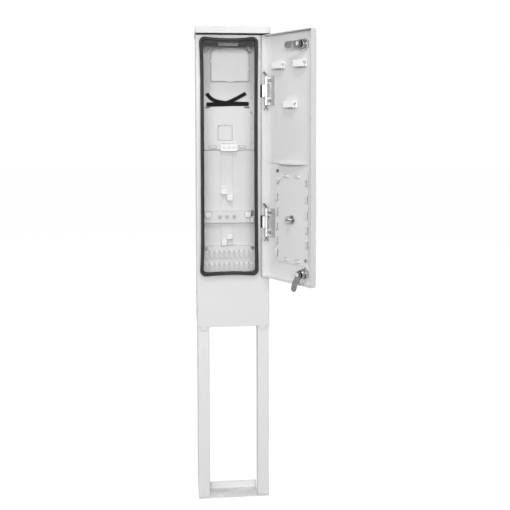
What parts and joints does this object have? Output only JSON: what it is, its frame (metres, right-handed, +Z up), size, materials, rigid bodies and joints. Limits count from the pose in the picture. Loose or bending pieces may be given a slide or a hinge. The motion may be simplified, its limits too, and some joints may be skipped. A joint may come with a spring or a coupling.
{
  "type": "roadside utility cabinet",
  "caption": "Slim folded-sheet pedestal cabinet on a legged ground frame; the open door, hung on concealed hinges, shows a splice tray, cable clamps and a duct comb.",
  "frame": {"origin": "under the middle of the crossbar at the foot of the ground frame", "axes": "+Z up, +Y from the front into the cabinet, +X towards the door's hinges"},
  "size_m": [0.2627, 0.275, 1.137],
  "materials": {
    "housing_paint": "powder coat, fine orange peel",
    "frame_paint": "powder coat, satin",
    "rack_paint": "powder coat, satin",
    "zinc_steel": "bright zinc plate",
    "lock_metal": "die cast, dull nickel",
    "seal_rubber": "matt, foamed",
    "tray_plastic": "fine spark texture",
    "clip_plastic": "satin",
    "strap_cloth": "hook-and-loop pile"
  },
  "bodies": {
    "cabinet": {"housing": "housing_paint", "rain_cap": "housing_paint", "leg_left": "frame_paint", "leg_right": "frame_paint", "ground_crossbar": "frame_paint", "upper_mounting_plate": "rack_paint", "lower_mounting_plate": "rack_paint", "duct_comb": "rack_paint", "clamp_bar": "rack_paint", "tray_hanger": "rack_paint", "cap_screws": "zinc_steel", "frame_bolts": "zinc_steel", "frame_nuts": "zinc_steel", "clamp_bar_screws": "zinc_steel", "comb_screws": "zinc_steel", "upper_hinge_arm": "zinc_steel", "upper_hinge_pin": "zinc_steel", "lower_hinge_arm": "zinc_steel", "lower_hinge_pin": "zinc_steel", "door_gasket": "seal_rubber", "splice_tray": "tray_plastic", "splice_holder": "tray_plastic", "fibre_guides": "tray_plastic", "cable_clips": "clip_plastic", "clamp_blocks": "clip_plastic", "tie_bracket": "clip_plastic", "hook_loop_strap": "strap_cloth"},
    "door": {"door_panel": "housing_paint", "hinge_screws": "zinc_steel", "storage_plate": "rack_paint", "storage_screws": "zinc_steel", "wing_knob": "zinc_steel", "door_shelf": "housing_paint", "door_clips": "clip_plastic", "upper_hinge_leaf": "zinc_steel", "lower_hinge_leaf": "zinc_steel", "upper_lock_housing": "lock_metal", "lower_lock_housing": "lock_metal", "upper_lock_nut": "lock_metal", "lower_lock_nut": "lock_metal"},
    "upper_cam": {"upper_lock_insert": "lock_metal", "upper_lock_cam": "lock_metal", "upper_cam_screw": "lock_metal"},
    "lower_cam": {"lower_lock_insert": "lock_metal", "lower_lock_cam": "lock_metal", "lower_cam_screw": "lock_metal"},
    "lid": {"tray_lid": "tray_plastic"}
  },
  "joints": [
    {"name": "door_hinge", "type": "hinge", "parent": "cabinet", "child": "door", "pos_m": [0.0789, -0.0325, 0.831], "axis": [0, 0, 1], "range_deg": [-122.7, 7.3]},
    {"name": "upper_cam_turn", "type": "hinge", "parent": "door", "child": "upper_cam", "pos_m": [0.14956, -0.14257, 1.087], "axis": [0.8415, 0.5402, 0], "range_deg": [0, 90]},
    {"name": "lower_cam_turn", "type": "hinge", "parent": "door", "child": "lower_cam", "pos_m": [0.14956, -0.14257, 0.57], "axis": [-0.8415, -0.5402, 0], "range_deg": [-68, 22]},
    {"name": "tray_lid_hinge", "type": "hinge", "parent": "cabinet", "child": "lid", "pos_m": [-0.0001, 0.0704, 1.098], "axis": [-1, 0, 0], "range_deg": [0, 90]}
  ]
}
